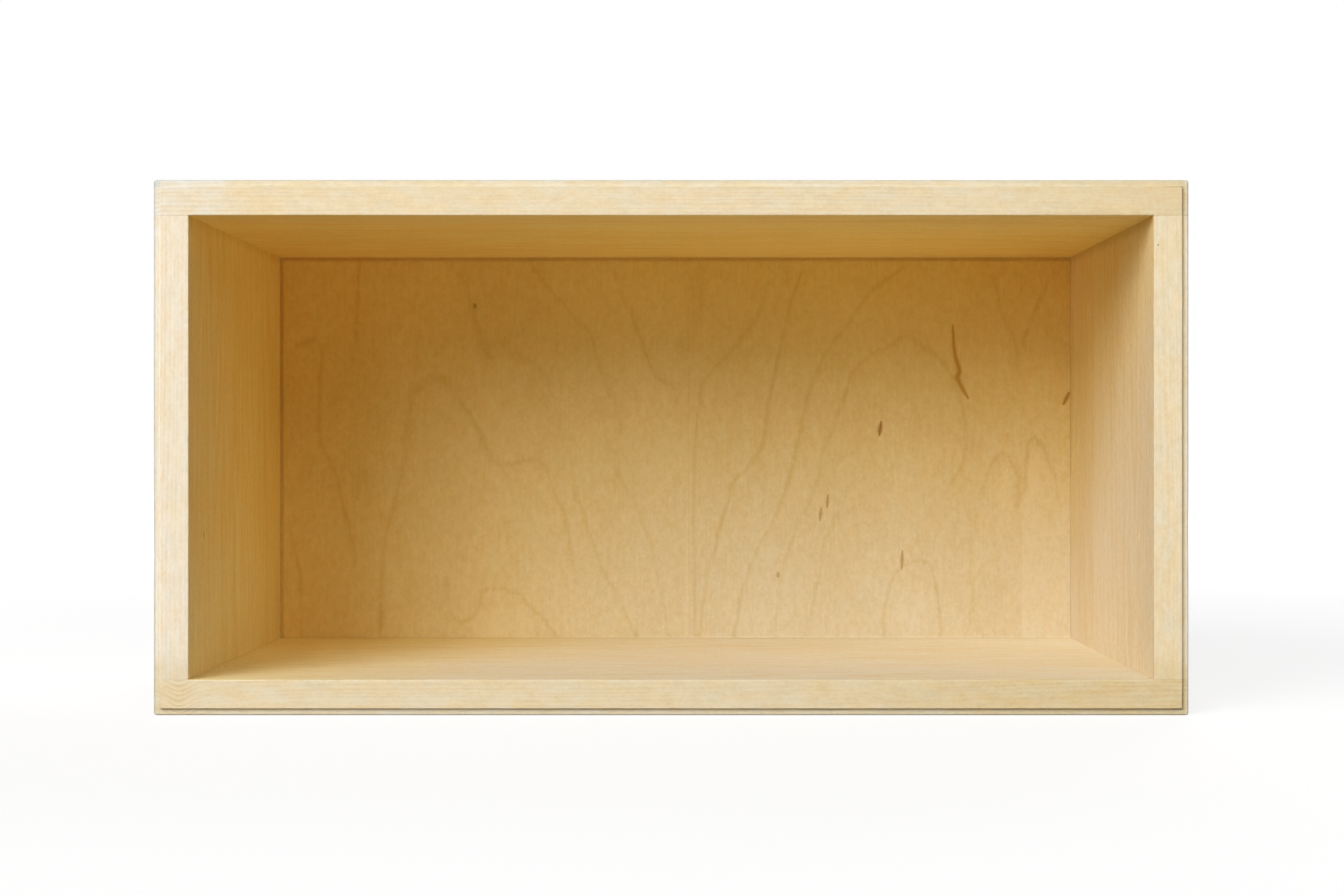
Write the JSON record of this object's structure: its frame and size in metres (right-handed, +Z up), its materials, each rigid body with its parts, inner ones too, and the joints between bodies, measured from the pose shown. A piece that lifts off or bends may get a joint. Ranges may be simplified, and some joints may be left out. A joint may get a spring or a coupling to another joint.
{
  "type": "box shelf",
  "caption": "Open box shelf in pale birch with a closed back, dowelled corners, a stepped front edge and keyhole hanging plates for a wall.",
  "frame": {"origin": "middle of the underside of the bottom board", "axes": "+X to the right seen from the front, +Y from the open front to the back panel, +Z up"},
  "size_m": [0.715, 0.3, 0.37],
  "materials": {
    "birch_board": "satin clear lacquer over solid birch",
    "birch_veneer": "satin clear lacquer over birch veneer",
    "beech_dowel": "raw turned beech",
    "zinc_steel": "bright zinc plate"
  },
  "bodies": {
    "root": {"top_board": "birch_board", "bottom_board": "birch_board", "left_side": "birch_board", "right_side": "birch_board", "back_panel": "birch_veneer", "dowel_top_left_1": "beech_dowel", "dowel_top_left_2": "beech_dowel", "dowel_top_left_3": "beech_dowel", "dowel_top_right_1": "beech_dowel", "dowel_top_right_2": "beech_dowel", "dowel_top_right_3": "beech_dowel", "dowel_bottom_left_1": "beech_dowel", "dowel_bottom_left_2": "beech_dowel", "dowel_bottom_left_3": "beech_dowel", "dowel_bottom_right_1": "beech_dowel", "dowel_bottom_right_2": "beech_dowel", "dowel_bottom_right_3": "beech_dowel", "hanger_left": "zinc_steel", "hanger_right": "zinc_steel", "hanger_screw_left_upper": "zinc_steel", "hanger_screw_left_lower": "zinc_steel", "hanger_screw_right_upper": "zinc_steel", "hanger_screw_right_lower": "zinc_steel"}
  },
  "joints": []
}
